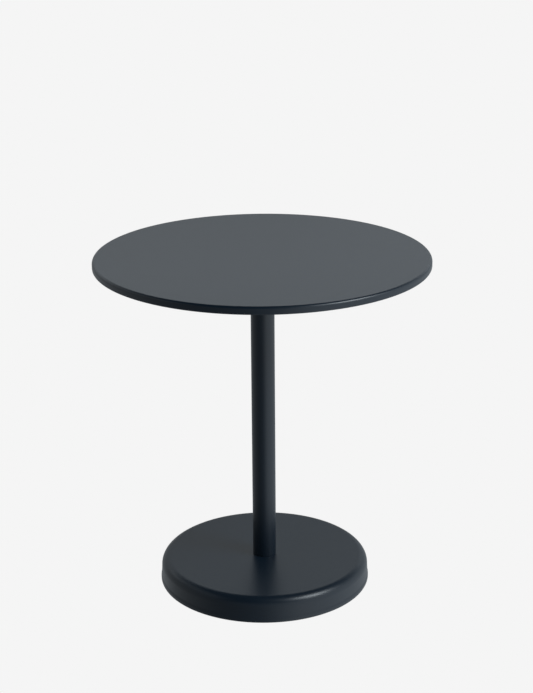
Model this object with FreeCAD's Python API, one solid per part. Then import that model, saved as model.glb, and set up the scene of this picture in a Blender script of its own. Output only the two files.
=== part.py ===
"""Round bistro table: a pressed steel top on a tube column, on a weighted round base with levelling feet.

Millimetres, +Z up. The origin is on the floor, on the column's axis.
One STEP file is written for each sub-part, named for its node.
"""

import math
import os

import FreeCAD
import Part

UP = FreeCAD.Vector(0, 0, 1)
ORIGIN = FreeCAD.Vector(0, 0, 0)

# Overall
table_height = 730.0
top_diameter = 700.0
column_diameter = 50.0
base_diameter = 453.0  # across the cover's rolled edge
base_height = 56.0  # floor to the flat top of the base cover

# Table top: one sheet, turned down at the rim and then in
top_sheet = 2.0
rim_height = 16.0
rim_shoulder = 6.0  # outside radius where the flat top turns down
rim_bend = 2.5  # outside radius where the rim turns in
rim_return = 10.0

# Ribs under the top: hat sections with their flanges against the sheet
rib_count = 4
rib_sheet = 1.5
rib_depth = 11.0
rib_web = 24.0
rib_flange = 12.0
rib_plate_gap = 8.0  # from the top plate's edge
rib_rim_gap = 12.0  # from the rim's return

# Top plate and its screws
top_plate_diameter = 210.0
top_plate_thickness = 4.0
top_plate_edge = 0.8
boss_count = 6
boss_wall = 4.0  # round the screw
boss_height = 6.0
boss_inset = 20.0  # from the plate's edge
screw_diameter = 6.0
screw_reach = 4.5  # thread inside the boss
screw_head_diameter = 10.5
screw_head_height = 3.3
screw_head_edge = 1.6
screw_key = 4.0  # across flats
screw_key_depth = 1.9
screw_hole_clearance = 0.3

# Column and what holds it
column_wall = 2.0
column_end_edge = 0.5
tube_fit = 0.1  # radial, spigots in the tube
top_spigot_length = 26.0
spigot_lead = 2.0
pilot_wall = 4.0  # round the rod
pilot_stand = 3.0  # the pilot stands this far above the plate
pilot_fit = 0.05
weld_leg = 2.6
rod_diameter = 12.0
rod_clearance = 0.4
rod_thread_depth = 22.0  # in the top spigot
rod_tip_gap = 2.0
rod_nut_flats = 19.0
rod_nut_height = 10.0
rod_nut_edge = 0.8
rod_stand = 2.0  # past the nut
washer_diameter = 36.0
washer_thickness = 3.0
thread_fit = 0.05  # radial, a thread's outside in its hole

# Base cover: one drawn sheet with a rolled lower edge
cover_sheet = 2.0
cover_edge = 20.0  # outside radius where the top turns into the wall
cover_draft = 2.5  # degrees, wider at the floor
cover_hole_fit = 0.2
cover_floor_gap = 2.0
roll_stand = 1.3  # the rolled edge stands out from the wall
roll_height = 9.0
roll_blend_height = 5.0  # over which the wall swells out to the rolled edge
roll_blend_radius = 8.0
roll_radius = 4.5  # outside, at the floor
roll_return = 11.0

# Ballast
ballast_side_gap = 15.5  # inside the cover's turned-in edge
ballast_thickness = 12.0
ballast_edge = 2.5
hub_land = 15.0  # outside the column, under the cover
hub_flare = 8.0
hub_recess = 8.0  # seat for the lower spigot
base_spigot_stand = 24.0  # height of the lower spigot inside the tube
counterbore_spare = 4.0
counterbore_gap = 4.0  # round the washer
web_thickness = 9.0
web_drop = 4.0  # below the hub's top, where a web meets it

# Levelling feet
foot_count = 4
foot_inset = 40.0  # from the ballast's edge
foot_first_angle = 45.0
pad_diameter = 36.0
pad_rim = 3.0
pad_neck_wall = 5.0  # round the stud's toe
pad_height = 7.0
pad_floor = 3.0
pad_edge = 0.8
stud_diameter = 8.0
stud_toe_step = 1.0  # the toe stands out from the stud
stud_toe_height = 2.0
stud_groove_depth = 0.4
stud_groove_height = 1.0
stud_flats = 13.0
stud_flange_height = 3.0
stud_flange_gap = 0.3  # above the pad, and below the ballast when screwed home
stud_lead = 1.0
stud_stand = 4.0  # above the foot boss
foot_fit = 0.05
foot_boss_wall = 10.0  # round the stud
foot_boss_height = 6.0

# Levels worked out from the sizes above
top_underside = table_height - top_sheet
rim_bottom = table_height - rim_height
plate_top = top_underside - boss_height
plate_bottom = plate_top - top_plate_thickness
cover_wall_bottom = cover_floor_gap + roll_height + roll_blend_height
hub_top = base_height - cover_sheet
base_spigot_bottom = hub_top - hub_recess
stud_flange_bottom = pad_height + stud_flange_gap
ballast_bottom = stud_flange_bottom + stud_flange_height + stud_flange_gap
ballast_top = ballast_bottom + ballast_thickness
foot_boss_top = ballast_top + foot_boss_height
counterbore_roof = ballast_bottom + washer_thickness + rod_nut_height + counterbore_spare
rod_nut_bottom = counterbore_roof - washer_thickness - rod_nut_height
rod_bottom = rod_nut_bottom - rod_stand
rod_thread_end = plate_bottom - top_spigot_length + rod_thread_depth

# Radii worked out from the sizes above
top_radius = top_diameter / 2
column_radius = column_diameter / 2
bore_radius = column_radius - column_wall
spigot_radius = bore_radius - tube_fit
cover_hole_radius = spigot_radius + cover_hole_fit
rod_radius = rod_diameter / 2
pilot_radius = rod_radius + pilot_wall
screw_radius = screw_diameter / 2
boss_radius = screw_radius + boss_wall
boss_circle_radius = top_plate_diameter / 2 - boss_inset
ballast_radius = base_diameter / 2 - roll_return - ballast_side_gap
hub_top_radius = column_radius + hub_land
hub_foot_radius = hub_top_radius + hub_flare
counterbore_radius = washer_diameter / 2 + counterbore_gap
stud_radius = stud_diameter / 2
stud_toe_radius = stud_radius + stud_toe_step
stud_groove_radius = stud_radius - stud_groove_depth
pad_neck_radius = stud_toe_radius + pad_neck_wall
foot_boss_radius = stud_radius + foot_boss_wall
foot_circle_radius = ballast_radius - foot_inset
cover_slope = math.tan(math.radians(cover_draft))


def vec(r, z):
    return FreeCAD.Vector(r, 0, z)


def outline(corners):
    """Closed wire in the XZ plane through (r, z) or (r, z, corner radius), with tangent arcs at the corners."""
    ends = []
    for i, corner in enumerate(corners):
        here = vec(corner[0], corner[1])
        radius = corner[2] if len(corner) > 2 else 0.0
        if radius <= 0:
            ends.append((here, None, here))
            continue
        before = vec(*corners[i - 1][:2])
        after = vec(*corners[(i + 1) % len(corners)][:2])
        back = (before - here).normalize()
        onward = (after - here).normalize()
        half = back.getAngle(onward) / 2
        inward = (back + onward).normalize()
        setback = radius / math.tan(half)
        middle = here + inward * (radius / math.sin(half) - radius)
        ends.append((here + back * setback, middle, here + onward * setback))
    edges = []
    for i, (start, middle, end) in enumerate(ends):
        if middle is not None:
            edges.append(Part.Arc(start, middle, end).toShape())
        following = ends[(i + 1) % len(ends)][0]
        if end.distanceToPoint(following) > 1e-6:
            edges.append(Part.LineSegment(end, following).toShape())
    return Part.Wire(edges)


def turned(corners):
    """Solid of revolution about the column's axis."""
    return Part.Face(outline(corners)).revolve(ORIGIN, UP, 360)


def disc(radius, z_low, z_high):
    return Part.makeCylinder(radius, z_high - z_low, FreeCAD.Vector(0, 0, z_low))


def hexagon(across_flats, z_low, z_high):
    corner = across_flats / 2 / math.cos(math.pi / 6)
    points = []
    for i in range(7):
        angle = i * math.pi / 3
        points.append(FreeCAD.Vector(corner * math.cos(angle), corner * math.sin(angle), z_low))
    return Part.Face(Part.makePolygon(points)).extrude(UP * (z_high - z_low))


def around(shape, radius, count, first_angle=0.0):
    """Copies of a shape made on the axis, each moved out to the radius and turned to its own angle."""
    copies = []
    for i in range(count):
        copy = shape.copy()
        copy.translate(FreeCAD.Vector(radius, 0, 0))
        copy.rotate(ORIGIN, UP, first_angle + i * 360 / count)
        copies.append(copy)
    return copies


def cover_radius(z):
    """Outside radius of the base cover's drafted wall at a height."""
    return base_diameter / 2 - roll_stand - (z - cover_wall_bottom) * cover_slope


def table_top():
    inner_shoulder = max(rim_shoulder - top_sheet, 0.0)
    inner_bend = max(rim_bend - top_sheet, 0.0)
    inner_radius = top_radius - top_sheet
    return_radius = top_radius - rim_return
    return turned([
        (0, table_height),
        (top_radius, table_height, rim_shoulder),
        (top_radius, rim_bottom, rim_bend),
        (return_radius, rim_bottom),
        (return_radius, rim_bottom + top_sheet),
        (inner_radius, rim_bottom + top_sheet, inner_bend),
        (inner_radius, top_underside, inner_shoulder),
        (0, top_underside),
    ])


def top_rib():
    """One hat section along +X, open towards the sheet."""
    start = top_plate_diameter / 2 + rib_plate_gap
    end = top_radius - rim_return - rib_rim_gap
    bottom = top_underside - rib_depth
    half_web = rib_web / 2
    half_width = half_web + rib_flange
    section = [
        (-half_width, top_underside),
        (-half_web, top_underside),
        (-half_web + rib_sheet, top_underside - rib_sheet),
        (-half_web + rib_sheet, bottom + rib_sheet),
        (half_web - rib_sheet, bottom + rib_sheet),
        (half_web - rib_sheet, top_underside - rib_sheet),
        (half_web, top_underside),
        (half_width, top_underside),
        (half_width, top_underside - rib_sheet),
        (half_web, top_underside - rib_sheet),
        (half_web, bottom),
        (-half_web, bottom),
        (-half_web, top_underside - rib_sheet),
        (-half_width, top_underside - rib_sheet),
    ]
    points = [FreeCAD.Vector(start, y, z) for y, z in section]
    face = Part.Face(Part.makePolygon(points + points[:1]))
    return face.extrude(FreeCAD.Vector(end - start, 0, 0))


def weld_boss():
    boss = disc(boss_radius, plate_top, top_underside)
    return boss.cut(disc(screw_radius + thread_fit, plate_top, top_underside))


def top_plate():
    radius = top_plate_diameter / 2
    plate = turned([
        (0, plate_bottom),
        (radius, plate_bottom, top_plate_edge),
        (radius, plate_top, top_plate_edge),
        (0, plate_top),
    ])
    pilot_hole = disc(pilot_radius, plate_bottom, plate_top)
    screw_hole = disc(screw_radius + screw_hole_clearance, plate_bottom, plate_top)
    return plate.cut([pilot_hole, *around(screw_hole, boss_circle_radius, boss_count)])


def plate_screw():
    head_bottom = plate_bottom - screw_head_height
    head_radius = screw_head_diameter / 2
    screw = turned([
        (0, head_bottom),
        (head_radius, head_bottom, screw_head_edge),
        (head_radius, plate_bottom),
        (screw_radius, plate_bottom),
        (screw_radius, plate_top + screw_reach),
        (0, plate_top + screw_reach),
    ])
    return screw.cut(hexagon(screw_key, head_bottom, head_bottom + screw_key_depth))


def top_spigot():
    pilot = pilot_radius - pilot_fit
    bottom = plate_bottom - top_spigot_length
    thread_radius = rod_radius + thread_fit
    return turned([
        (thread_radius, bottom),
        (spigot_radius - spigot_lead, bottom),
        (spigot_radius, bottom + spigot_lead),
        (spigot_radius, plate_bottom),
        (pilot, plate_bottom),
        (pilot, plate_top + pilot_stand),
        (0, plate_top + pilot_stand),
        (0, rod_thread_end),
        (thread_radius, rod_thread_end),
    ])


def spigot_weld():
    """Concave fillet weld in the corner between the pilot and the plate."""
    inner = pilot_radius - pilot_fit
    outer = inner + weld_leg
    crown = plate_top + weld_leg
    bow = weld_leg * (1 - math.cos(math.pi / 4))
    edges = [
        Part.LineSegment(vec(inner, plate_top), vec(outer, plate_top)).toShape(),
        Part.Arc(vec(outer, plate_top), vec(inner + bow, plate_top + bow), vec(inner, crown)).toShape(),
        Part.LineSegment(vec(inner, crown), vec(inner, plate_top)).toShape(),
    ]
    return Part.Face(Part.Wire(edges)).revolve(ORIGIN, UP, 360)


def column_tube():
    edge = column_end_edge
    return turned([
        (bore_radius, base_height),
        (column_radius - edge, base_height),
        (column_radius, base_height + edge),
        (column_radius, plate_bottom - edge),
        (column_radius - edge, plate_bottom),
        (bore_radius, plate_bottom),
    ])


def tie_rod():
    tip = thread_fit + 1.0
    return turned([
        (0, rod_bottom),
        (rod_radius - tip, rod_bottom),
        (rod_radius, rod_bottom + tip),
        (rod_radius, rod_thread_end - rod_tip_gap - tip),
        (rod_radius - tip, rod_thread_end - rod_tip_gap),
        (0, rod_thread_end - rod_tip_gap),
    ])


def hex_nut(across_flats, z_low, z_high, edge, bore):
    """Nut with its corners turned down on both faces."""
    corner_radius = across_flats / 2 / math.cos(math.pi / 6)
    turned_blank = turned([
        (bore, z_low),
        (corner_radius - edge, z_low),
        (corner_radius, z_low + edge * 0.6),
        (corner_radius, z_high - edge * 0.6),
        (corner_radius - edge, z_high),
        (bore, z_high),
    ])
    return turned_blank.common(hexagon(across_flats, z_low, z_high))


def tie_rod_nut():
    return hex_nut(
        rod_nut_flats,
        rod_nut_bottom,
        rod_nut_bottom + rod_nut_height,
        rod_nut_edge,
        rod_radius + thread_fit,
    )


def tie_rod_washer():
    low = rod_nut_bottom + rod_nut_height
    ring = disc(washer_diameter / 2, low, counterbore_roof)
    return ring.cut(disc(rod_radius + rod_clearance, low, counterbore_roof))


def base_spigot():
    bottom = base_spigot_bottom
    top = base_height + base_spigot_stand
    hole = rod_radius + rod_clearance
    return turned([
        (hole, bottom),
        (spigot_radius, bottom),
        (spigot_radius, top - spigot_lead),
        (spigot_radius - spigot_lead, top),
        (hole, top),
    ])


def base_cover():
    outer = base_diameter / 2
    inner = outer - cover_sheet
    wall = cover_sheet / math.cos(math.radians(cover_draft))
    roll_top = cover_floor_gap + roll_height
    inside_roll = max(roll_radius - cover_sheet, 0.0)
    inside_edge = max(cover_edge - cover_sheet, 0.0)
    return turned([
        (cover_hole_radius, base_height),
        (cover_radius(base_height), base_height, cover_edge),
        (cover_radius(cover_wall_bottom), cover_wall_bottom, roll_blend_radius),
        (outer, roll_top, roll_blend_radius),
        (outer, cover_floor_gap, roll_radius),
        (outer - roll_return, cover_floor_gap),
        (outer - roll_return, cover_floor_gap + cover_sheet),
        (inner, cover_floor_gap + cover_sheet, inside_roll),
        (inner, roll_top, roll_blend_radius),
        (cover_radius(cover_wall_bottom) - wall, cover_wall_bottom, roll_blend_radius),
        (cover_radius(hub_top) - wall, hub_top, inside_edge),
        (cover_hole_radius, hub_top),
    ])


def ballast_web():
    """One cast web from the hub to a foot boss, along +X."""
    hub_side = hub_foot_radius - web_thickness
    points = [
        vec(hub_side, ballast_bottom + ballast_thickness / 2),
        vec(foot_circle_radius, ballast_bottom + ballast_thickness / 2),
        vec(foot_circle_radius, foot_boss_top),
        vec(foot_circle_radius - foot_boss_radius, foot_boss_top),
        vec(hub_top_radius, hub_top - web_drop),
        vec(hub_side, hub_top - web_drop),
    ]
    web = Part.Face(Part.makePolygon(points + points[:1])).extrude(FreeCAD.Vector(0, web_thickness, 0))
    web.translate(FreeCAD.Vector(0, -web_thickness / 2, 0))
    return web


def ballast_plate():
    body = turned([
        (0, ballast_bottom),
        (ballast_radius, ballast_bottom, ballast_edge),
        (ballast_radius, ballast_top, ballast_edge),
        (hub_foot_radius, ballast_top, ballast_edge),
        (hub_top_radius, hub_top),
        (0, hub_top),
    ])
    boss = disc(foot_boss_radius, ballast_bottom + ballast_thickness / 2, foot_boss_top)
    bosses = around(boss, foot_circle_radius, foot_count, foot_first_angle)
    webs = around(ballast_web(), 0.0, foot_count, foot_first_angle)
    stud_hole = disc(stud_radius + foot_fit, ballast_bottom, foot_boss_top)
    stud_holes = around(stud_hole, foot_circle_radius, foot_count, foot_first_angle)
    counterbore = disc(counterbore_radius, ballast_bottom, counterbore_roof)
    rod_hole = disc(rod_radius + rod_clearance, counterbore_roof, base_spigot_bottom)
    spigot_seat = disc(cover_hole_radius, base_spigot_bottom, hub_top)
    casting = body.fuse([*bosses, *webs]).removeSplitter()
    return casting.cut([counterbore, rod_hole, spigot_seat, *stud_holes])


def foot_pad():
    """Pad with a socket that snaps over the stud's toe."""
    toe = stud_toe_radius + foot_fit
    throat = stud_groove_radius + foot_fit
    shoulder = pad_floor + foot_fit + stud_toe_height + foot_fit
    throat_top = shoulder + stud_groove_height - 2 * foot_fit
    mouth = stud_radius + stud_flange_gap
    return turned([
        (0, 0),
        (pad_diameter / 2, 0, pad_edge),
        (pad_diameter / 2, pad_rim, pad_edge),
        (pad_neck_radius, pad_rim, pad_edge),
        (pad_neck_radius, pad_height, pad_edge),
        (mouth, pad_height),
        (mouth, throat_top),
        (throat, throat_top),
        (throat, shoulder),
        (toe, shoulder),
        (toe, pad_floor),
        (0, pad_floor),
    ])


def foot_stud():
    """Threaded stud with a toe that snaps into the pad and a hex flange for a spanner."""
    toe_bottom = pad_floor + foot_fit
    toe_top = toe_bottom + stud_toe_height
    groove_top = toe_top + stud_groove_height
    top = foot_boss_top + stud_stand
    shank = turned([
        (0, toe_bottom),
        (stud_toe_radius, toe_bottom),
        (stud_toe_radius, toe_top),
        (stud_groove_radius, toe_top),
        (stud_groove_radius, groove_top),
        (stud_radius, groove_top),
        (stud_radius, top - stud_lead),
        (stud_radius - stud_lead, top),
        (0, top),
    ])
    flange = hexagon(stud_flats, stud_flange_bottom, stud_flange_bottom + stud_flange_height)
    return shank.fuse(flange)


def numbered(name, shapes):
    return {f"{name}_{i + 1}": shape for i, shape in enumerate(shapes)}


def build():
    parts = {
        "table_top": table_top(),
        "weld_bosses": Part.makeCompound(around(weld_boss(), boss_circle_radius, boss_count)),
        "top_plate": top_plate(),
        "top_plate_screws": Part.makeCompound(around(plate_screw(), boss_circle_radius, boss_count)),
        "top_spigot": top_spigot(),
        "spigot_weld": spigot_weld(),
        "column_tube": column_tube(),
        "tie_rod": tie_rod(),
        "tie_rod_nut": tie_rod_nut(),
        "tie_rod_washer": tie_rod_washer(),
        "base_spigot": base_spigot(),
        "base_cover": base_cover(),
        "ballast_plate": ballast_plate(),
    }
    parts.update(numbered("top_rib", around(top_rib(), 0.0, rib_count)))
    parts.update(numbered("foot_pad", around(foot_pad(), foot_circle_radius, foot_count, foot_first_angle)))
    parts.update(numbered("foot_stud", around(foot_stud(), foot_circle_radius, foot_count, foot_first_angle)))
    return parts


def main():
    os.makedirs("parts", exist_ok=True)
    for name, shape in build().items():
        if not shape.isValid() or shape.Volume <= 0:
            raise ValueError(f"{name} is not a sound solid")
        shape.exportStep(f"parts/{name}.step")
        print(f"{name}: {len(shape.Solids)} solid(s), {shape.Volume / 1000:.1f} cm3")


main()
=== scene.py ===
import math

import bmesh
import bpy
from mathutils import Matrix, Vector


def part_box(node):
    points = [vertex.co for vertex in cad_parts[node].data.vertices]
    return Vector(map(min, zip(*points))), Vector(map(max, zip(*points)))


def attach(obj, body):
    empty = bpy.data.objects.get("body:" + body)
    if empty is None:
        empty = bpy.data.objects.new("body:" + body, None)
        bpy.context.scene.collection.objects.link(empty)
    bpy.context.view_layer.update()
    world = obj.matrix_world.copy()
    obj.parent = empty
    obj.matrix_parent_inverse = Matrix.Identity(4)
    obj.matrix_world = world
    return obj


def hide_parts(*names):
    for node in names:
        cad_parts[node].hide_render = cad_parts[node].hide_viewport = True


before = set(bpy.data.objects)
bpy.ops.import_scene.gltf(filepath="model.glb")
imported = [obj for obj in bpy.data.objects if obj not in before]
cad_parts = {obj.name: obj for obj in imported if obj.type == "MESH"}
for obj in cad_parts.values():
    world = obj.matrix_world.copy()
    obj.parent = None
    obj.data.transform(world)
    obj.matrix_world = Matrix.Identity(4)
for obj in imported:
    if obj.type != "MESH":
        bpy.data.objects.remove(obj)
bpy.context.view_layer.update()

print("frame loaded:", len(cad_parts), "nodes")

mm = 0.001  # every size below is in metres
tiny = 0.001 * mm  # points nearer than this are merged
near = 0.01 * mm  # how close counts as the same place when edges are picked
past = 1 * mm  # how far a cutter or a joining shape reaches past a face
fit = 0.05 * mm  # clearance round a thread or a pilot
noiseLow, noiseHigh = 0.3, 0.7  # nearly all of a noise texture's values lie between these


def srgb(hexColour):
    parts = [int(hexColour[i:i + 2], 16) / 255 for i in (1, 3, 5)]
    linear = [c / 12.92 if c <= 0.04045 else ((c + 0.055) / 1.055) ** 2.4 for c in parts]
    return (*linear, 1.0)


def addNode(material, kind, inputs=None, links=None, **settings):
    node = material.node_tree.nodes.new("ShaderNode" + kind)
    for name, value in settings.items():
        setattr(node, name, value)
    for name, value in (inputs or {}).items():
        node.inputs[name].default_value = value
    for name, source in (links or {}).items():
        material.node_tree.links.new(source, node.inputs[name])
    return node


def startMaterial(name):
    material = bpy.data.materials.new(name)
    material.use_nodes = True
    material.node_tree.nodes.clear()
    return material


def startPiece(name):
    piece = bpy.context.object
    piece.name = name
    piece.data.name = name
    bpy.ops.object.transform_apply(location=True, rotation=True, scale=True)
    bpy.ops.object.mode_set(mode="EDIT")
    bpy.ops.mesh.select_mode(type="EDGE")
    bpy.ops.mesh.select_all(action="SELECT")
    return piece


def pickEdges(piece, wanted):
    # in edit mode: selects just the edges that pass the test
    bpy.ops.mesh.select_all(action="DESELECT")
    mesh = bmesh.from_edit_mesh(piece.data)
    for edge in mesh.edges:
        if wanted(edge):
            edge.select_set(True)
    bmesh.update_edit_mesh(piece.data)


def onRing(edge, radius, height, centre):
    for vert in edge.verts:
        away = math.hypot(vert.co.x - centre[0], vert.co.y - centre[1])
        if abs(away - radius) > near or abs(vert.co.z - height) > near:
            return False
    return True


def turnedPiece(name, profile, sides=128, centre=(0, 0), ends="capped"):
    # a ring, extruded and scaled from corner to corner of the profile, then its corners rounded
    # profile: (radius, height) or (radius, height, rounding)
    # ends: capped, joined (the last corner back to the first), firstCapped or open
    bpy.ops.object.select_all(action="DESELECT")
    radius, height = profile[0][:2]
    bpy.ops.mesh.primitive_circle_add(vertices=sides, radius=radius, location=(*centre, height))
    piece = startPiece(name)
    corners = profile + profile[:1] if ends == "joined" else profile
    for here, there in zip(corners, corners[1:]):
        bpy.ops.mesh.extrude_region_move(TRANSFORM_OT_translate={"value": (0, 0, there[1] - here[1])})
        grow = there[0] / here[0]
        bpy.ops.transform.resize(value=(grow, grow, 1), center_override=(*centre, there[1]))
    bpy.ops.mesh.select_all(action="SELECT")
    bpy.ops.mesh.remove_doubles(threshold=tiny)
    if ends == "capped":
        bpy.ops.mesh.select_non_manifold()
        bpy.ops.mesh.fill_holes(sides=0)
    if ends == "firstCapped":
        pickEdges(piece, lambda edge: onRing(edge, radius, height, centre))
        bpy.ops.mesh.edge_face_add()
    bpy.ops.mesh.select_all(action="SELECT")
    bpy.ops.mesh.normals_make_consistent(inside=False)
    for i, corner in enumerate(profile):
        if len(corner) < 3:
            continue
        radius, height, rounding = corner
        before = after = (0, height)  # on the axis, past a capped end
        if i or ends == "joined":
            before = profile[i - 1]
        if i + 1 < len(profile) or ends == "joined":
            after = profile[(i + 1) % len(profile)]
        come = Vector((radius - before[0], height - before[1]))
        go = Vector((after[0] - radius, after[1] - height))
        pickEdges(piece, lambda edge: onRing(edge, radius, height, centre))
        bpy.ops.mesh.bevel(offset_type="OFFSET", offset=rounding * math.tan(come.angle(go) / 2),
                           segments=max(3, round(rounding / mm * 1.2) + 2),  # more on a wider rounding
                           profile=0.5, clamp_overlap=True)
    bpy.ops.object.mode_set(mode="OBJECT")
    return piece


def cornerRadius(flats):
    # a hexagon's corners, from the distance across its flats
    return flats / 2 / math.cos(math.pi / 6)


def hexPrism(name, flats, low, high, centre=(0, 0)):
    # turned a twelfth, so that a corner points outwards
    bpy.ops.object.select_all(action="DESELECT")
    bpy.ops.mesh.primitive_cylinder_add(vertices=6, radius=cornerRadius(flats), depth=high - low,
                                        location=(*centre, (low + high) / 2), rotation=(0, 0, math.pi / 6))
    piece = startPiece(name)
    bpy.ops.object.mode_set(mode="OBJECT")
    return piece


def applyModifier(piece, kind, **settings):
    bpy.context.view_layer.objects.active = piece
    modifier = piece.modifiers.new(kind.lower(), kind)
    for name, value in settings.items():
        setattr(modifier, name, value)
    bpy.ops.object.modifier_apply(modifier=modifier.name)


def combine(piece, other, operation):
    # boolean with another object, which is then removed
    applyModifier(piece, "BOOLEAN", object=other, operation=operation, solver="EXACT")
    bpy.data.objects.remove(other, do_unlink=True)


def cutHole(piece, name, radius, low, high, sides, centre=(0, 0)):
    combine(piece, turnedPiece(name, [(radius, low), (radius, high)], sides, centre), "DIFFERENCE")


def copiesAround(piece, count, firstAngle=0.0, joined=True):
    # copies turned about the column's axis, each with its own mesh
    copies = []
    for i in range(count):
        bpy.ops.object.select_all(action="DESELECT")
        piece.select_set(True)
        bpy.context.view_layer.objects.active = piece
        bpy.ops.object.duplicate(linked=False)
        copy = bpy.context.object
        copy.rotation_euler.z = firstAngle + i * 2 * math.pi / count
        bpy.ops.object.transform_apply(location=False, rotation=True, scale=False)
        copies.append(copy)
    name = piece.name
    bpy.data.objects.remove(piece, do_unlink=True)
    if not joined:
        for i, copy in enumerate(copies):
            copy.name = f"{name}{i + 1}"
            copy.data.name = copy.name
        return copies
    bpy.ops.object.select_all(action="DESELECT")
    for copy in copies:
        copy.select_set(True)
    bpy.context.view_layer.objects.active = copies[0]
    bpy.ops.object.join()
    copies[0].name = name
    copies[0].data.name = name
    return copies[0]


def finishPiece(piece, material, body, node, sharpAngle=32):
    # drops slivers left by booleans, sets smooth and sharp edges, gives the finish and hands the piece over
    bpy.ops.object.select_all(action="DESELECT")
    piece.select_set(True)
    bpy.context.view_layer.objects.active = piece
    bpy.ops.object.mode_set(mode="EDIT")
    bpy.ops.mesh.select_all(action="SELECT")
    bpy.ops.mesh.dissolve_degenerate(threshold=tiny)
    bpy.ops.object.mode_set(mode="OBJECT")
    bpy.ops.object.shade_smooth_by_angle(angle=math.radians(sharpAngle))
    applyModifier(piece, "WEIGHTED_NORMAL", keep_sharp=True, weight=80)
    piece.data.materials.clear()
    piece.data.materials.append(material)
    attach(piece, body)
    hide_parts(node)


powderCoat = {
    "colour": "#0f1c28",
    "colourLight": "#13212d",
    "roughness": 0.34,
    "roughnessSpread": 0.04,
    "ior": 1.5,
    "peelWidth": 2.2 * mm,  # one wave of the orange peel
    "peelDepth": 0.03 * mm,
    "grainWidth": 0.45 * mm,  # one grain of the fused powder
    "grainDepth": 0.008 * mm,
    "cloudWidth": 120 * mm,  # slow drift in film thickness
}


def makePowderCoat():
    # polyester powder baked on steel: a deep blue-grey satin skin with a very fine orange peel
    sizes = powderCoat
    material = startMaterial("satinPowderCoat")
    place = addNode(material, "TexCoord").outputs["Object"]
    cloud = addNode(material, "TexNoise", {"Scale": 1 / sizes["cloudWidth"], "Detail": 2.0}, {"Vector": place})
    peel = addNode(material, "TexNoise", {"Scale": 1 / sizes["peelWidth"], "Detail": 1.0}, {"Vector": place})
    grain = addNode(material, "TexNoise", {"Scale": 1 / sizes["grainWidth"], "Detail": 2.0}, {"Vector": place})
    tint = addNode(material, "MixRGB", {"Color1": srgb(sizes["colour"]), "Color2": srgb(sizes["colourLight"])},
                   {"Fac": cloud.outputs["Fac"]})
    rough = addNode(material, "MapRange",
                    {"From Min": noiseLow, "From Max": noiseHigh,
                     "To Min": sizes["roughness"] - sizes["roughnessSpread"],
                     "To Max": sizes["roughness"] + sizes["roughnessSpread"]},
                    {"Value": grain.outputs["Fac"]})
    peelBump = addNode(material, "Bump", {"Strength": 1.0, "Distance": sizes["peelDepth"]},
                       {"Height": peel.outputs["Fac"]})
    grainBump = addNode(material, "Bump", {"Strength": 1.0, "Distance": sizes["grainDepth"]},
                        {"Height": grain.outputs["Fac"], "Normal": peelBump.outputs["Normal"]})
    shader = addNode(material, "BsdfPrincipled", {"IOR": sizes["ior"], "Metallic": 0.0},
                     {"Base Color": tint.outputs["Color"], "Roughness": rough.outputs["Result"],
                      "Normal": grainBump.outputs["Normal"]})
    addNode(material, "OutputMaterial", links={"Surface": shader.outputs["BSDF"]})
    return material


zincPlate = {
    "colour": "#b4b9bd",
    "colourWarm": "#bfb9a6",
    "roughness": 0.3,
    "roughnessSpread": 0.08,
    "patchWidth": 2.5 * mm,  # one patch of the passivation's tint
    "scratchWidth": 0.2 * mm,  # real ones are finer: drawn this coarse to show
    "scratchLength": 1.6 * mm,
    "scratchDepth": 0.006 * mm,
}


def makeZincPlate():
    # bright zinc plate with a clear passivate: grey metal with faint warm and blue patches
    sizes = zincPlate
    material = startMaterial("brightZincPlate")
    place = addNode(material, "TexCoord").outputs["Object"]
    patch = addNode(material, "TexNoise", {"Scale": 1 / sizes["patchWidth"], "Detail": 3.0}, {"Vector": place})
    tint = addNode(material, "MixRGB", {"Color1": srgb(sizes["colour"]), "Color2": srgb(sizes["colourWarm"])},
                   {"Fac": patch.outputs["Fac"]})
    squash = sizes["scratchLength"] / sizes["scratchWidth"]
    stretch = addNode(material, "Mapping", {"Scale": (1.0, 1.0, squash)}, {"Vector": place})
    scratch = addNode(material, "TexNoise", {"Scale": 1 / sizes["scratchLength"], "Detail": 4.0},
                      {"Vector": stretch.outputs["Vector"]})
    rough = addNode(material, "MapRange",
                    {"From Min": noiseLow, "From Max": noiseHigh,
                     "To Min": sizes["roughness"] - sizes["roughnessSpread"],
                     "To Max": sizes["roughness"] + sizes["roughnessSpread"]},
                    {"Value": scratch.outputs["Fac"]})
    bump = addNode(material, "Bump", {"Strength": 1.0, "Distance": sizes["scratchDepth"]},
                   {"Height": scratch.outputs["Fac"]})
    shader = addNode(material, "BsdfPrincipled", {"Metallic": 1.0},
                     {"Base Color": tint.outputs["Color"], "Roughness": rough.outputs["Result"],
                      "Normal": bump.outputs["Normal"]})
    addNode(material, "OutputMaterial", links={"Surface": shader.outputs["BSDF"]})
    return material


turnedSteel = {
    "colour": "#8d8f91",
    "colourOiled": "#6f7072",
    "roughnessDry": 0.44,
    "roughnessOiled": 0.28,
    "feed": 0.6 * mm,  # from one tool mark to the next: drawn coarser than a real one, to show
    "markDepth": 0.006 * mm,
    "oilWidth": 9 * mm,
}


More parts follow.
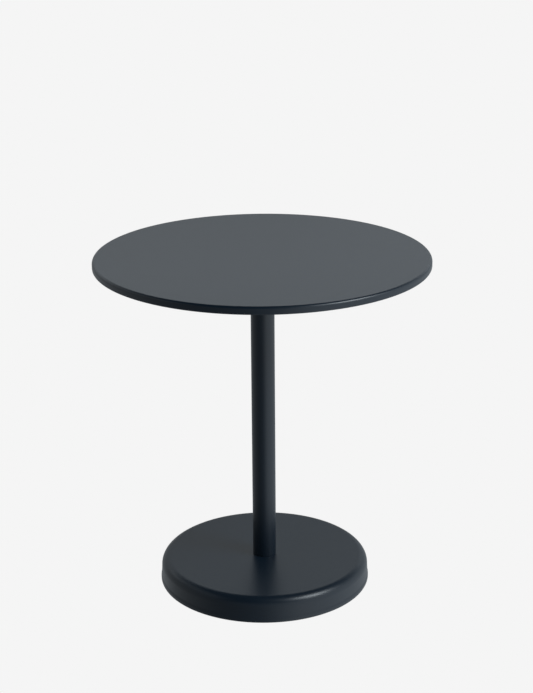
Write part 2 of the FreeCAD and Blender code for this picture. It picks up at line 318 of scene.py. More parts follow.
def makeTurnedSteel():
    # bare steel off the lathe, lightly oiled: fine rings of tool marks that stretch the highlights
    sizes = turnedSteel
    material = startMaterial("oiledTurnedSteel")
    place = addNode(material, "TexCoord").outputs["Object"]
    bands = 3.2  # a wave texture has this many bands to each unit of its scale
    marks = addNode(material, "TexWave", {"Scale": 1 / sizes["feed"] / bands, "Distortion": 0.6, "Detail": 2.0},
                    {"Vector": place}, wave_type="BANDS", bands_direction="Z")
    oil = addNode(material, "TexNoise", {"Scale": 1 / sizes["oilWidth"], "Detail": 3.0}, {"Vector": place})
    tint = addNode(material, "MixRGB", {"Color1": srgb(sizes["colour"]), "Color2": srgb(sizes["colourOiled"])},
                   {"Fac": oil.outputs["Fac"]})
    rough = addNode(material, "MapRange",
                    {"From Min": noiseLow, "From Max": noiseHigh,
                     "To Min": sizes["roughnessDry"], "To Max": sizes["roughnessOiled"]},
                    {"Value": oil.outputs["Fac"]})
    bump = addNode(material, "Bump", {"Strength": 1.0, "Distance": sizes["markDepth"]},
                   {"Height": marks.outputs["Fac"]})
    shader = addNode(material, "BsdfPrincipled", {"Metallic": 1.0},
                     {"Base Color": tint.outputs["Color"], "Roughness": rough.outputs["Result"],
                      "Normal": bump.outputs["Normal"]})
    addNode(material, "OutputMaterial", links={"Surface": shader.outputs["BSDF"]})
    return material


castIron = {
    "colour": "#121416",
    "colourBare": "#3a3733",
    "bareFrom": 0.45,  # heights of the sand's grain where the primer thins and the iron shows
    "bareTo": 0.7,
    "roughnessHollow": 0.78,
    "roughnessSwell": 0.48,
    "ior": 1.5,
    "sandWidth": 1.6 * mm,  # a few grains of the moulding sand together
    "sandDepth": 0.5 * mm,
    "swellWidth": 16 * mm,
    "swellDepth": 1.2 * mm,
}


def makeCastIron():
    # grey iron from a sand mould under thin black primer: pitted, dull, with slow swells
    sizes = castIron
    material = startMaterial("primedSandCastIron")
    place = addNode(material, "TexCoord").outputs["Object"]
    swell = addNode(material, "TexNoise", {"Scale": 1 / sizes["swellWidth"], "Detail": 2.0}, {"Vector": place})
    sand = addNode(material, "TexNoise", {"Scale": 1 / sizes["sandWidth"], "Detail": 5.0, "Roughness": 0.65},
                   {"Vector": place})
    bare = addNode(material, "MapRange", {"From Min": sizes["bareFrom"], "From Max": sizes["bareTo"]},
                   {"Value": sand.outputs["Fac"]})
    tint = addNode(material, "MixRGB", {"Color1": srgb(sizes["colour"]), "Color2": srgb(sizes["colourBare"])},
                   {"Fac": bare.outputs["Result"]})
    rough = addNode(material, "MapRange",
                    {"From Min": noiseLow, "From Max": noiseHigh,
                     "To Min": sizes["roughnessHollow"], "To Max": sizes["roughnessSwell"]},
                    {"Value": swell.outputs["Fac"]})
    swellBump = addNode(material, "Bump", {"Strength": 1.0, "Distance": sizes["swellDepth"]},
                        {"Height": swell.outputs["Fac"]})
    sandBump = addNode(material, "Bump", {"Strength": 1.0, "Distance": sizes["sandDepth"]},
                       {"Height": sand.outputs["Fac"], "Normal": swellBump.outputs["Normal"]})
    shader = addNode(material, "BsdfPrincipled", {"IOR": sizes["ior"], "Metallic": 0.0},
                     {"Base Color": tint.outputs["Color"], "Roughness": rough.outputs["Result"],
                      "Normal": sandBump.outputs["Normal"]})
    addNode(material, "OutputMaterial", links={"Surface": shader.outputs["BSDF"]})
    return material


footNylon = {
    "colour": "#0b0c0d",
    "colourScuffed": "#2f3133",
    "scuffFrom": 0.5,  # values of the scuff pattern between which the grey comes in
    "scuffTo": 0.75,
    "roughness": 0.44,
    "roughnessScuffed": 0.64,
    "ior": 1.53,
    "grainWidth": 0.6 * mm,  # spark-eroded mould grain
    "grainDepth": 0.08 * mm,
    "scuffWidth": 5 * mm,
}


def makeFootNylon():
    # black nylon from a grained mould: near-matt, greyer where it has slid on floors
    sizes = footNylon
    material = startMaterial("mouldedBlackNylon")
    place = addNode(material, "TexCoord").outputs["Object"]
    grain = addNode(material, "TexNoise", {"Scale": 1 / sizes["grainWidth"], "Detail": 3.0}, {"Vector": place})
    scuff = addNode(material, "TexNoise", {"Scale": 1 / sizes["scuffWidth"], "Detail": 4.0}, {"Vector": place})
    worn = addNode(material, "MapRange", {"From Min": sizes["scuffFrom"], "From Max": sizes["scuffTo"]},
                   {"Value": scuff.outputs["Fac"]})
    tint = addNode(material, "MixRGB", {"Color1": srgb(sizes["colour"]), "Color2": srgb(sizes["colourScuffed"])},
                   {"Fac": worn.outputs["Result"]})
    rough = addNode(material, "MapRange",
                    {"To Min": sizes["roughness"], "To Max": sizes["roughnessScuffed"]},
                    {"Value": worn.outputs["Result"]})
    bump = addNode(material, "Bump", {"Strength": 1.0, "Distance": sizes["grainDepth"]},
                   {"Height": grain.outputs["Fac"]})
    shader = addNode(material, "BsdfPrincipled", {"IOR": sizes["ior"], "Metallic": 0.0},
                     {"Base Color": tint.outputs["Color"], "Roughness": rough.outputs["Result"],
                      "Normal": bump.outputs["Normal"]})
    addNode(material, "OutputMaterial", links={"Surface": shader.outputs["BSDF"]})
    return material


coatMaterial = makePowderCoat()
zincMaterial = makeZincPlate()
steelMaterial = makeTurnedSteel()
ironMaterial = makeCastIron()
nylonMaterial = makeFootNylon()
print("materials made")


topSizes = {
    "sheet": 2 * mm,
    "shoulder": 6 * mm,  # from the flat top into the rim
    "bend": 2.5 * mm,
    "turnIn": 10 * mm,
    "sides": 256,
}


def makeTableTop():
    # a pressed steel tray: flat top, rim turned down and then in
    sizes = topSizes
    low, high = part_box("table_top")
    radius = (high.x - low.x) / 2
    piece = turnedPiece(
        "tableTop",
        [(radius, high.z, sizes["shoulder"]),
         (radius, low.z, sizes["bend"]),
         (radius - sizes["turnIn"], low.z)],
        sizes["sides"], ends="firstCapped")
    applyModifier(piece, "SOLIDIFY", thickness=sizes["sheet"], offset=-1, use_even_offset=True)
    finishPiece(piece, coatMaterial, "table", "table_top")


makeTableTop()


columnSizes = {"wall": 2 * mm, "edge": 0.5 * mm, "sides": 96}


def makeColumn():
    low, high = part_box("column_tube")
    radius = (high.x - low.x) / 2
    bore = radius - columnSizes["wall"]
    edge = columnSizes["edge"]
    piece = turnedPiece(
        "columnTube",
        [(bore, low.z, edge / 2),
         (radius, low.z, edge),
         (radius, high.z, edge),
         (bore, high.z, edge / 2)],
        columnSizes["sides"], ends="joined")
    finishPiece(piece, coatMaterial, "table", "column_tube")


makeColumn()


coverSizes = {
    "sheet": 2 * mm,
    "edge": 20 * mm,  # rounding between the flat and the wall
    "draft": math.radians(2.5),
    "rollStand": 1.3 * mm,  # how far the rolled edge stands out from the wall
    "rollHeight": 9 * mm,
    "blendHeight": 5 * mm,
    "blendRadius": 8 * mm,
    "rollRadius": 4.5 * mm,
    "rollReturn": 11 * mm,
    "holeGap": 0.3 * mm,  # round the spigot in the tube
    "sides": 256,
}


def makeBaseCover():
    # a deep-drawn steel dish, upside down, its lower edge swelled out and rolled under
    sizes = coverSizes
    low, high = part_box("base_cover")
    radius = (high.x - low.x) / 2
    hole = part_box("base_spigot")[1].x + sizes["holeGap"]
    rollTop = low.z + sizes["rollHeight"]
    wallBottom = rollTop + sizes["blendHeight"]
    wallRadius = radius - sizes["rollStand"]
    topRadius = wallRadius - (high.z - wallBottom) * math.tan(sizes["draft"])
    piece = turnedPiece(
        "baseCover",
        [(hole, high.z),
         (topRadius, high.z, sizes["edge"]),
         (wallRadius, wallBottom, sizes["blendRadius"]),
         (radius, rollTop, sizes["blendRadius"]),
         (radius, low.z, sizes["rollRadius"]),
         (radius - sizes["rollReturn"], low.z)],
        sizes["sides"], ends="open")
    applyModifier(piece, "SOLIDIFY", thickness=sizes["sheet"], offset=-1, use_even_offset=True)
    finishPiece(piece, coatMaterial, "table", "base_cover")


makeBaseCover()
print("top, column and cover made")


ribSizes = {
    "count": 4,
    "sheet": 1.5 * mm,
    "web": 24 * mm,
    "bend": 2.5 * mm,
    "edge": 0.25 * mm,
    "cornerCut": 4 * mm,
    "weldPitch": 46 * mm,
    "weldWidth": 6 * mm,
    "weldDepth": 0.35 * mm,
    "weldDish": [(0.5, 1 / 3), (1 / 3, 1.0), (0.2, 0.5)],  # shares of its width and its depth
    "weldSides": 20,
}


def makeRibs():
    # a folded hat section, its flanges spot welded to the sheet
    sizes = ribSizes
    low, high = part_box("top_rib_1")
    seat = high.z - sizes["sheet"]  # the flanges' lower face
    halfWeb = sizes["web"] / 2
    length = high.x - low.x
    bpy.ops.object.select_all(action="DESELECT")
    bpy.ops.mesh.primitive_plane_add(size=1, location=((low.x + high.x) / 2, 0, low.z))
    bpy.context.object.scale = (length, sizes["web"], 1)
    piece = startPiece("topRib")
    for side in (-1, 1):
        pickEdges(piece, lambda edge: all(abs(v.co.y - side * halfWeb) < near for v in edge.verts)
                  and all(abs(v.co.z - low.z) < near for v in edge.verts))
        bpy.ops.mesh.extrude_region_move(TRANSFORM_OT_translate={"value": (0, 0, seat - low.z)})
        bpy.ops.mesh.extrude_region_move(TRANSFORM_OT_translate={"value": (0, side * (high.y - halfWeb), 0)})
    bpy.ops.mesh.select_all(action="SELECT")
    bpy.ops.mesh.normals_make_consistent(inside=False)
    pickEdges(piece, lambda edge: abs(edge.verts[0].co.x - edge.verts[1].co.x) > length / 2
              and abs(edge.verts[0].co.y) < halfWeb + near)
    bpy.ops.mesh.bevel(offset_type="OFFSET", offset=sizes["bend"], segments=5, profile=0.5)
    mesh = bmesh.from_edit_mesh(piece.data)
    bpy.ops.mesh.select_mode(type="VERT")
    bpy.ops.mesh.select_all(action="DESELECT")
    for vert in mesh.verts:
        if abs(abs(vert.co.y) - high.y) < near:
            vert.select_set(True)
    bmesh.update_edit_mesh(piece.data)
    bpy.ops.mesh.bevel(affect="VERTICES", offset=sizes["cornerCut"], segments=4, profile=0.5)
    bpy.ops.object.mode_set(mode="OBJECT")
    # the lower faces look down, so the wall's thickness grows upwards
    downward = sum(face.normal.z * face.area for face in piece.data.polygons) < 0
    applyModifier(piece, "SOLIDIFY", thickness=sizes["sheet"], offset=-1 if downward else 1,
                  use_even_offset=True)
    applyModifier(piece, "BEVEL", width=sizes["edge"], segments=2, limit_method="ANGLE",
                  angle_limit=math.radians(50))
    welds = []
    for side in (-1, 1):
        y = side * (halfWeb + high.y) / 2
        x = low.x + sizes["weldPitch"] / 2
        while x < high.x - sizes["weldPitch"] / 4:
            dish = [(sizes["weldWidth"] * share, seat - sizes["weldDepth"] * drop)
                    for share, drop in sizes["weldDish"]]
            sunk = (sizes["weldWidth"] / 2, seat + fit)  # a hair into the flange
            welds.append(turnedPiece("spotWeld", [sunk] + dish, sizes["weldSides"], (x, y)))
            x += sizes["weldPitch"]
    bpy.ops.object.select_all(action="DESELECT")
    for weld in welds:
        weld.select_set(True)
    piece.select_set(True)
    bpy.context.view_layer.objects.active = piece
    bpy.ops.object.join()
    for i, rib in enumerate(copiesAround(piece, sizes["count"], joined=False)):
        finishPiece(rib, coatMaterial, "table", f"top_rib_{i + 1}")


makeRibs()

plateSizes = {
    "edge": 0.8 * mm,
    "sides": 192,
    "pilotHole": 10 * mm,  # this and the other holes, bosses and heads are given by radius
    "pilotSides": 64,
    "count": 6,
    "inset": 20 * mm,  # from the plate's edge to the screws' circle
    "screwHole": 3.3 * mm,
    "holeSides": 32,
    "boss": 7 * mm,
    "bossEdge": 0.4 * mm,
    "boreEdge": 0.3 * mm,
    "bossWeld": 1.6 * mm,  # height of the boss's welded foot
    "screwRadius": 3 * mm,
    "screwSides": 40,
    "tipEdge": 0.8 * mm,
    "headRadius": 5.25 * mm,
    "headDome": 2.8 * mm,  # rounding that domes the head
    "headEdge": 0.1 * mm,
    "keyFlats": 4 * mm,
    "keyDepth": 1.9 * mm,
}


def makeTopPlate():
    sizes = plateSizes
    low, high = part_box("top_plate")
    radius = (high.x - low.x) / 2
    circle = radius - sizes["inset"]
    plate = turnedPiece("topPlate", [(radius, low.z, sizes["edge"]), (radius, high.z, sizes["edge"])],
                        sizes["sides"])
    cutHole(plate, "pilotHole", sizes["pilotHole"], low.z - past, high.z + past, sizes["pilotSides"])
    hole = turnedPiece("screwHole", [(sizes["screwHole"], low.z - past), (sizes["screwHole"], high.z + past)],
                       sizes["holeSides"], (circle, 0))
    combine(plate, copiesAround(hole, sizes["count"]), "DIFFERENCE")
    finishPiece(plate, coatMaterial, "table", "top_plate")

    bossLow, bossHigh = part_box("weld_bosses")
    bore = sizes["screwRadius"] + fit
    boss = turnedPiece(
        "weldBosses",
        [(bore, bossLow.z, sizes["boreEdge"]),
         (sizes["boss"], bossLow.z, sizes["bossEdge"]),
         (sizes["boss"], bossHigh.z - sizes["bossWeld"]),
         (sizes["boss"], bossHigh.z),
         (bore, bossHigh.z)],
        sizes["screwSides"], (circle, 0), "joined")
    finishPiece(copiesAround(boss, sizes["count"]), coatMaterial, "table", "weld_bosses")

    headLow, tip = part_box("top_plate_screws")
    screw = turnedPiece(
        "plateScrews",
        [(sizes["headRadius"], headLow.z, sizes["headDome"]),
         (sizes["headRadius"], low.z, sizes["headEdge"]),
         (sizes["screwRadius"], low.z),
         (sizes["screwRadius"], tip.z - sizes["tipEdge"]),
         (sizes["screwRadius"] - sizes["tipEdge"], tip.z)],
        sizes["screwSides"], (circle, 0))
    key = hexPrism("keySocket", sizes["keyFlats"], headLow.z - past, headLow.z + sizes["keyDepth"], (circle, 0))
    combine(screw, key, "DIFFERENCE")
    finishPiece(copiesAround(screw, sizes["count"]), zincMaterial, "table", "top_plate_screws")


makeTopPlate()
print("ribs, plate and screws made")


rodSizes = {
    "pitch": 1.75 * mm,
    "thread": 32 * mm,  # length of the thread at each end
    "threadOverlap": 0.4 * mm,
    "shankStep": 0.5 * mm,  # the shank is this much slimmer than the thread
    "edge": 1.05 * mm,
    "sides": 48,
    "nutFlats": 19 * mm,
    "nutEdge": 0.8 * mm,
    "nutEdgeRise": 0.48 * mm,
    "nutBoreEdge": 0.5 * mm,
    "nutSides": 72,
    "washerEdge": 0.5 * mm,
    "washerBackEdge": 0.2 * mm,
    "bore": 6.05 * mm,  # a nut's or spigot's thread round the rod
    "clearance": 6.4 * mm,
    "turnedSides": 96,
}


def threadedBar(name, radius, pitch, low, high, centre=(0, 0), steps=32):
    # one tooth wound up the bar, then cut flat at both ends
    # a metric thread: its root is flat for a quarter of the pitch and its crest for an eighth
    root = radius - 0.6134 * pitch
    tooth = [(root, 0.0), (root, 0.25), (radius, 0.5625), (radius, 0.6875), (root, 1.0)]
    bpy.ops.object.select_all(action="DESELECT")
    bpy.ops.mesh.primitive_plane_add(size=0.1 * mm, location=(root, 0, low - pitch))
    piece = startPiece(name)
    bpy.ops.mesh.merge(type="CENTER")
    bpy.ops.mesh.select_mode(type="VERT")
    bpy.ops.mesh.select_all(action="SELECT")
    for here, there in zip(tooth, tooth[1:]):
        step = (there[0] - here[0], 0, (there[1] - here[1]) * pitch)
        bpy.ops.mesh.extrude_region_move(TRANSFORM_OT_translate={"value": step})
    bpy.ops.object.mode_set(mode="OBJECT")
    turns = math.ceil((high - low) / pitch) + 2
    applyModifier(piece, "SCREW", axis="Z", angle=2 * math.pi, screw_offset=pitch, iterations=turns, steps=steps,
                  render_steps=steps, use_merge_vertices=True, merge_threshold=tiny)
    bpy.ops.object.mode_set(mode="EDIT")
    bpy.ops.mesh.select_all(action="SELECT")
    bpy.ops.mesh.remove_doubles(threshold=2 * tiny)
    bpy.ops.mesh.normals_make_consistent(inside=False)
    for height, up in ((low, -1), (high, 1)):
        bpy.ops.mesh.select_all(action="SELECT")
        bpy.ops.mesh.bisect(plane_co=(0, 0, height), plane_no=(0, 0, up), use_fill=True, clear_outer=True)
    bpy.ops.mesh.select_all(action="SELECT")
    bpy.ops.transform.translate(value=(*centre, 0))
    bpy.ops.object.mode_set(mode="OBJECT")
    return piece


def makeTieRod():
    sizes = rodSizes
    low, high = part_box("tie_rod")
    radius = (high.x - low.x) / 2
    shank = radius - sizes["shankStep"]
    shankLow = low.z + sizes["thread"]
    shankHigh = high.z - sizes["thread"]
    rod = turnedPiece(
        "tieRod",
        [(shank, shankLow - sizes["threadOverlap"]), (shank, shankHigh + sizes["threadOverlap"])],
        sizes["sides"])
    for name, start, end in (("lowerThread", low.z, shankLow), ("upperThread", shankHigh, high.z)):
        thread = threadedBar(name, radius, sizes["pitch"], start, end)
        tip = turnedPiece(
            "threadTip",
            [(radius - sizes["edge"], start),
             (radius + 2 * fit, start + sizes["edge"]),
             (radius + 2 * fit, end - sizes["edge"]),
             (radius - sizes["edge"], end)],
            sizes["sides"])
        combine(thread, tip, "INTERSECT")
        combine(rod, thread, "UNION")
    finishPiece(rod, zincMaterial, "table", "tie_rod")


makeTieRod()


def makeNut():
    sizes = rodSizes
    low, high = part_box("tie_rod_nut")
    corner = cornerRadius(sizes["nutFlats"])
    edge, rise = sizes["nutEdge"], sizes["nutEdgeRise"]
    nut = turnedPiece(
        "tieRodNut",
        [(sizes["bore"], low.z, sizes["nutBoreEdge"]),
         (corner - edge, low.z),
         (corner, low.z + rise),
         (corner, high.z - rise),
         (corner - edge, high.z),
         (sizes["bore"], high.z, sizes["nutBoreEdge"])],
        sizes["nutSides"], ends="joined")
    combine(nut, hexPrism("nutFlats", sizes["nutFlats"], low.z - past, high.z + past), "INTERSECT")
    finishPiece(nut, zincMaterial, "table", "tie_rod_nut")

    low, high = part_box("tie_rod_washer")
    radius = (high.x - low.x) / 2
    washer = turnedPiece(
        "tieRodWasher",
        [(sizes["clearance"], low.z, sizes["washerBackEdge"]),
         (radius, low.z, sizes["washerEdge"]),
         (radius, high.z, sizes["washerBackEdge"]),
         (sizes["clearance"], high.z, sizes["washerBackEdge"])],
        sizes["turnedSides"], ends="joined")
    finishPiece(washer, zincMaterial, "table", "tie_rod_washer")


makeNut()


spigotSizes = {
    "pilot": 9.95 * mm,
    "pilotEdge": 0.6 * mm,
    "seatEdge": 0.2 * mm,
    "lead": 2 * mm,  # chamfer that leads into the tube
    "holeSpare": 2 * mm,  # the rod's hole goes on this far past its end
    "weldLeg": 2.6 * mm,
    "weldFace": [(0, 0), (1, 0), (0.45, 0.2), (0.2, 0.45), (0, 1)],  # shares of the leg, out and up
    "baseEdge": 0.4 * mm,
    "sides": 96,
}


def makeSpigots():
    sizes = spigotSizes
    low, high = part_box("top_spigot")
    radius = (high.x - low.x) / 2
    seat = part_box("top_plate")[0].z
    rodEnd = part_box("tie_rod")[1].z
    spigot = turnedPiece(
        "topSpigot",
        [(radius - sizes["lead"], low.z),
         (radius, low.z + sizes["lead"]),
         (radius, seat, sizes["seatEdge"]),
         (sizes["pilot"], seat),
         (sizes["pilot"], high.z, sizes["pilotEdge"])],
        sizes["sides"])
    cutHole(spigot, "rodHole", rodSizes["bore"], low.z - past, rodEnd + sizes["holeSpare"], rodSizes["sides"])
    finishPiece(spigot, steelMaterial, "table", "top_spigot")

    low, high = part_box("spigot_weld")
    leg = sizes["weldLeg"]
    face = [(sizes["pilot"] + out * leg, low.z + up * leg) for out, up in sizes["weldFace"]]
    weld = turnedPiece("spigotWeld", face, sizes["sides"], ends="joined")
    finishPiece(weld, steelMaterial, "table", "spigot_weld", sharpAngle=50)

    low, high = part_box("base_spigot")
    radius = (high.x - low.x) / 2
    bore = rodSizes["clearance"]
    spigot = turnedPiece(
        "baseSpigot",
        [(bore, low.z, sizes["baseEdge"]),
         (radius, low.z, sizes["baseEdge"]),
         (radius, high.z - sizes["lead"]),
         (radius - sizes["lead"], high.z),
         (bore, high.z, sizes["baseEdge"])],
        sizes["sides"], ends="joined")
    finishPiece(spigot, steelMaterial, "table", "base_spigot")


makeSpigots()
print("rod, nut and spigots made")


ballastSizes = {
    "thickness": 12 * mm,
    "edge": 2.5 * mm,
    "sides": 128,
    "hubTop": 40 * mm,
    "hubFoot": 48 * mm,
    "hubFillet": 6 * mm,
    "counterbore": 22 * mm,  # room for the nut, its washer and a socket
    "counterboreSides": 72,
    "spigotSeat": 23.1 * mm,
    "rodHole": 6.4 * mm,
    "rodHoleSides": 48,
    "count": 4,
    "firstAngle": math.pi / 4,
    "webThickness": 9 * mm,
    "webDrop": 4 * mm,  # from the hub's top to the web's inner end
    "webSink": 0.5 * mm,  # from the foot boss's top to the web's outer end
    "webEdge": 1.5 * mm,
    "footBoss": 14 * mm,
    "footBossHeight": 6 * mm,
    "footBossSides": 48,
    "footHole": 4.05 * mm,
    "footHoleSides": 32,
    "footInset": 40 * mm,  # from the plate's edge to the feet's circle
    "castEdge": 1 * mm,
}


def makeBallast():
    sizes = ballastSizes
    low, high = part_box("ballast_plate")
    radius = (high.x - low.x) / 2
    middle = low.z + sizes["thickness"] / 2
    top = low.z + sizes["thickness"]
    bossTop = top + sizes["footBossHeight"]
    circle = radius - sizes["footInset"]
    ballast = turnedPiece(
        "ballastPlate",
        [(radius, low.z, sizes["edge"]),
         (radius, top, sizes["edge"]),
         (sizes["hubFoot"], top, sizes["hubFillet"]),
         (sizes["hubTop"], high.z, sizes["castEdge"])],
        sizes["sides"])
    boss = turnedPiece(
        "footBoss",
        [(sizes["footBoss"], middle),
         (sizes["footBoss"], bossTop, sizes["castEdge"])],
        sizes["footBossSides"], (circle, 0))
    combine(ballast, copiesAround(boss, sizes["count"], sizes["firstAngle"]), "UNION")

    # a web: a block whose upper edge falls from the hub to the foot boss
    inner = sizes["hubFoot"] - sizes["webThickness"]
    webTop = high.z - sizes["webDrop"]
    bpy.ops.object.select_all(action="DESELECT")
    bpy.ops.mesh.primitive_cube_add(size=1, location=((inner + circle) / 2, 0, (middle + webTop) / 2))
    bpy.context.object.scale = (circle - inner, sizes["webThickness"], webTop - middle)
    web = startPiece("ballastWeb")
    pickEdges(web, lambda edge: all(v.co.z > webTop - mm and v.co.x > circle - mm for v in edge.verts))
    bpy.ops.transform.translate(value=(0, 0, bossTop - sizes["webSink"] - webTop))
    pickEdges(web, lambda edge: abs(edge.verts[0].co.x - edge.verts[1].co.x) > mm
              and all(v.co.z > middle + mm for v in edge.verts))
    bpy.ops.mesh.bevel(offset_type="OFFSET", offset=sizes["webEdge"], segments=4, profile=0.5)
    bpy.ops.object.mode_set(mode="OBJECT")
    combine(ballast, copiesAround(web, sizes["count"], sizes["firstAngle"]), "UNION")

    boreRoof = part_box("tie_rod_washer")[1].z
    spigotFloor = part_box("base_spigot")[0].z
    under, over = low.z - past, high.z + past
    cutHole(ballast, "counterbore", sizes["counterbore"], under, boreRoof, sizes["counterboreSides"])
    cutHole(ballast, "rodHole", sizes["rodHole"], under, over, sizes["rodHoleSides"])
    cutHole(ballast, "spigotSeat", sizes["spigotSeat"], spigotFloor, over, sizes["counterboreSides"])
    hole = turnedPiece("footHole", [(sizes["footHole"], under), (sizes["footHole"], bossTop + past)],
                       sizes["footHoleSides"], (circle, 0))
    combine(ballast, copiesAround(hole, sizes["count"], sizes["firstAngle"]), "DIFFERENCE")
    finishPiece(ballast, ironMaterial, "table", "ballast_plate")


makeBallast()
print("ballast made")


footSizes = {
    "count": 4,
    "firstAngle": math.pi / 4,
    "padRim": 3 * mm,
    "padEdge": 0.8 * mm,
    "padSides": 96,
    "neck": 10 * mm,
    # the socket that the stud's toe snaps into
    "mouth": 4.3 * mm,
    "throat": 3.65 * mm,
    "throatLow": 5.1 * mm,
    "throatHigh": 6.0 * mm,
    "toe": 5.05 * mm,
    "padFloor": 3 * mm,
    # grip rings in the underside, round a shallow dimple
    "dimple": 3 * mm,
    "gripRings": [6 * mm, 9.5 * mm, 13 * mm],
    "gripWidth": 1.6 * mm,
    "gripDepth": 0.4 * mm,
    "gripSlope": 0.3 * mm,
    "stud": 4 * mm,
    "studSides": 40,
    "studToe": 5 * mm,
    "studToeHeight": 2 * mm,
    "studToeEdge": 0.4 * mm,
    "studToeBackEdge": 0.2 * mm,
    "studGroove": 3.6 * mm,
    "studGrooveHeight": 1 * mm,
    "studGrooveEdge": 0.1 * mm,
    "flats": 13 * mm,
    "flangeLow": 7.3 * mm,
    "flangeHeight": 3 * mm,
    "flangeEdge": 0.7 * mm,
    "flangeEdgeRise": 0.4 * mm,
    "flangeSides": 60,
    "pitch": 1.25 * mm,
    "threadOverlap": 0.5 * mm,
    "lead": 1 * mm,
}


def footCentre():
    # both parts of a foot are made on the X axis, at the feet's distance from the column
    low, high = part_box("foot_pad_1")
    return (math.hypot((low.x + high.x) / 2, (low.y + high.y) / 2), 0)


def makePads():
    sizes = footSizes
    low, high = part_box("foot_pad_1")
    radius = (high.x - low.x) / 2
    centre = footCentre()
    grip = low.z + sizes["gripDepth"]
    underside = [(sizes["dimple"], grip), (sizes["dimple"] + sizes["gripSlope"], low.z)]
    for ring in sizes["gripRings"]:
        underside += [(ring, low.z),
                      (ring + sizes["gripSlope"], grip),
                      (ring + sizes["gripWidth"] - sizes["gripSlope"], grip),
                      (ring + sizes["gripWidth"], low.z)]
    rimTop = low.z + sizes["padRim"]
    outside = [(radius, low.z), (radius, rimTop), (sizes["neck"], rimTop), (sizes["neck"], high.z)]
    pad = turnedPiece("footPad", underside + [(*corner, sizes["padEdge"]) for corner in outside],
                      sizes["padSides"], centre)
    over = high.z + past
    for name, hole, start, end in (("toeSocket", sizes["toe"], sizes["padFloor"], sizes["throatLow"]),
                                   ("throat", sizes["throat"], sizes["padFloor"] + past, over),
                                   ("mouth", sizes["mouth"], sizes["throatHigh"], over)):
        cutHole(pad, name, hole, start, end, sizes["studSides"], centre)
    for i, copy in enumerate(copiesAround(pad, sizes["count"], sizes["firstAngle"], joined=False)):
        finishPiece(copy, nylonMaterial, f"foot_{i + 1}_pad", f"foot_pad_{i + 1}")


makePads()


def makeStuds():
    sizes = footSizes
    low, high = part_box("foot_stud_1")
    centre = footCentre()
    toeTop = low.z + sizes["studToeHeight"]
    grooveTop = toeTop + sizes["studGrooveHeight"]
    flangeLow = sizes["flangeLow"]
    flangeHigh = flangeLow + sizes["flangeHeight"]
    stud = turnedPiece(
        "footStud",
        [(sizes["studToe"], low.z, sizes["studToeEdge"]),
         (sizes["studToe"], toeTop, sizes["studToeBackEdge"]),
         (sizes["studGroove"], toeTop),
         (sizes["studGroove"], grooveTop),
         (sizes["stud"], grooveTop, sizes["studGrooveEdge"]),
         (sizes["stud"], flangeLow + past)],
        sizes["studSides"], centre)
    corner = cornerRadius(sizes["flats"])
    edge, rise = sizes["flangeEdge"], sizes["flangeEdgeRise"]
    flange = turnedPiece(
        "flangeBlank",
        [(corner - edge, flangeLow),
         (corner, flangeLow + rise),
         (corner, flangeHigh - rise),
         (corner - edge, flangeHigh)],
        sizes["flangeSides"], centre)
    flats = hexPrism("flangeFlats", sizes["flats"], flangeLow - past, flangeHigh + past, centre)
    combine(flange, flats, "INTERSECT")
    combine(stud, flange, "UNION")
    threadLow = flangeHigh - sizes["threadOverlap"]
    thread = threadedBar("studThread", sizes["stud"], sizes["pitch"], threadLow, high.z, centre)
    outside = sizes["stud"] + 2 * fit
    tip = turnedPiece(
        "studTip",
        [(outside, flangeHigh - past),
         (outside, high.z - sizes["lead"] - 2 * fit),
         (sizes["stud"] - sizes["lead"], high.z)],
        sizes["studSides"], centre)
    combine(thread, tip, "INTERSECT")
    combine(stud, thread, "UNION")
    for i, copy in enumerate(copiesAround(stud, sizes["count"], sizes["firstAngle"], joined=False)):
        finishPiece(copy, zincMaterial, f"foot_{i + 1}_stud", f"foot_stud_{i + 1}")


makeStuds()
print("feet made")


studio = {
    "backdrop": "#f5f5f5",
    "floorSize": 60,
    "floorDrop": 0.2 * mm,  # below the feet, so the two don't flicker
    "domeSize": 25,
    # light bounced off the room's walls and floor: share of a turn, and how bright the room is that way
    "bounce": [
        (0.0, 0.34),  # the table's left
        (0.125, 0.16),
        (0.25, 0.21),  # towards the camera
        (0.36, 1.02),
        (0.5, 0.98),  # right
        (0.625, 0.59),
        (0.75, 0.37),  # behind
        (0.875, 0.42),
    ],
    "bounceColour": "#f2faff",
    "ceilingStart": 0.3,  # sines of the heights between which the dark ceiling takes over
    "ceilingEnd": 0.7,
    "ceilingLight": 0.03,
    "lightColour": "#f0f9ff",
    "aim": Vector((0, 0, 0.4)),  # what the softboxes face
}

# softboxes: side is the angle round from the camera to the right, height the angle above the floor, in degrees
softboxes = {
    "keySoftbox": {"side": 66, "height": 44, "distance": 3.5, "width": 1.4, "tall": 1.4, "power": 70},
    "backSoftbox": {"side": 190, "height": 29, "distance": 3.5, "width": 7.5, "tall": 1.0, "power": 15},
    "leftSoftbox": {"side": -92, "height": 38, "distance": 3.5, "width": 4.0, "tall": 1.6, "power": 6.5},
}


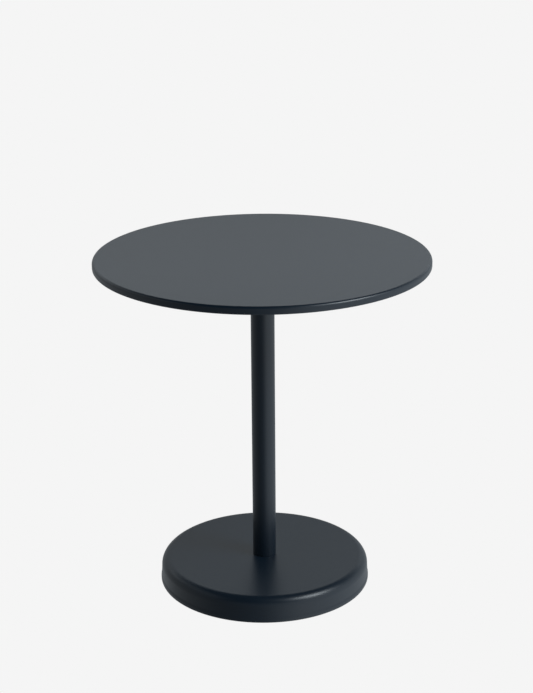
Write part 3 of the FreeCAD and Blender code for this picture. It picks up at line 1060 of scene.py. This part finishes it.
def makeStage():
    # a pale floor and a pale dome behind it: plain glow, so they light nothing and take no shadow
    for name, kind in (("studioFloor", "floor"), ("studioDome", "dome")):
        bpy.ops.object.select_all(action="DESELECT")
        if kind == "floor":
            bpy.ops.mesh.primitive_plane_add(size=studio["floorSize"], location=(0, 0, -studio["floorDrop"]))
        else:
            bpy.ops.mesh.primitive_uv_sphere_add(radius=studio["domeSize"], segments=48, ring_count=24)
        thing = bpy.context.object
        thing.name = name
        material = startMaterial(name + "Paint")
        glow = addNode(material, "Emission", {"Color": srgb(studio["backdrop"]), "Strength": 1.0})
        surface = glow.outputs["Emission"]
        if kind == "floor":
            # clear from below, so the underside can be looked at
            side = addNode(material, "NewGeometry")
            clear = addNode(material, "BsdfTransparent")
            mix = addNode(material, "MixShader", links={"Fac": side.outputs["Backfacing"]})
            material.node_tree.links.new(surface, mix.inputs[1])
            material.node_tree.links.new(clear.outputs["BSDF"], mix.inputs[2])
            surface = mix.outputs["Shader"]
        addNode(material, "OutputMaterial", links={"Surface": surface})
        thing.data.materials.append(material)
        thing.visible_diffuse = False
        thing.visible_glossy = False
        thing.visible_transmission = False
        thing.visible_shadow = False


makeStage()


def makeWorld():
    # bounced light from the room: bright on the right, dim on the left, dark overhead
    world = bpy.data.worlds.new("paleStudio")
    bpy.context.scene.world = world
    world.use_nodes = True
    world.node_tree.nodes.clear()
    way = addNode(world, "TexCoord").outputs["Generated"]
    around = addNode(world, "TexGradient", links={"Vector": way}, gradient_type="RADIAL")
    ramp = addNode(world, "ValToRGB", links={"Fac": around.outputs["Fac"]})
    stops = ramp.color_ramp.elements
    stops.remove(stops[1])
    tint = srgb(studio["bounceColour"])[:3]
    for i, (share, level) in enumerate(studio["bounce"] + [(1.0, studio["bounce"][0][1])]):
        stop = stops[0] if i == 0 else stops.new(share)
        stop.position = share
        stop.color = (*(level * part for part in tint), 1.0)
    height = addNode(world, "SeparateXYZ", links={"Vector": way})
    ceiling = addNode(world, "MapRange",
                      {"From Min": studio["ceilingStart"], "From Max": studio["ceilingEnd"],
                       "To Min": 1.0, "To Max": studio["ceilingLight"]},
                      {"Value": height.outputs["Z"]}, interpolation_type="SMOOTHSTEP")
    glow = addNode(world, "Background",
                   links={"Color": ramp.outputs["Color"], "Strength": ceiling.outputs["Result"]})
    addNode(world, "OutputWorld", links={"Surface": glow.outputs["Background"]})


makeWorld()


def makeSoftboxes():
    for name, box in softboxes.items():
        light = bpy.data.lights.new(name, "AREA")
        light.shape = "RECTANGLE"
        light.size = box["width"]
        light.size_y = box["tall"]
        light.energy = box["power"]
        light.color = srgb(studio["lightColour"])[:3]
        panel = bpy.data.objects.new(name, light)
        bpy.context.scene.collection.objects.link(panel)
        side, height = math.radians(box["side"]), math.radians(box["height"])
        way = Vector((math.cos(height) * math.sin(side), -math.cos(height) * math.cos(side), math.sin(height)))
        panel.location = studio["aim"] + way * box["distance"]
        panel.rotation_euler = way.to_track_quat("Z", "Y").to_euler()
        panel.visible_camera = False


makeSoftboxes()


camera = {
    "lens": 88.4,  # mm
    "sensor": 36,
    "x": 7.7 * mm,
    "distance": 3378 * mm,
    "height": 1693.8 * mm,
    "pitch": math.radians(18.98),
    "roll": math.radians(-0.442),
}


def makeCamera():
    lens = bpy.data.cameras.new("studioCamera")
    lens.lens = camera["lens"]
    lens.sensor_width = camera["sensor"]
    view = bpy.data.objects.new("studioCamera", lens)
    bpy.context.scene.collection.objects.link(view)
    turn = Matrix.Rotation(math.pi / 2 - camera["pitch"], 4, "X") @ Matrix.Rotation(camera["roll"], 4, "Z")
    view.matrix_world = Matrix.Translation((camera["x"], -camera["distance"], camera["height"])) @ turn
    bpy.context.scene.camera = view


makeCamera()
bpy.context.scene.view_settings.view_transform = "Standard"
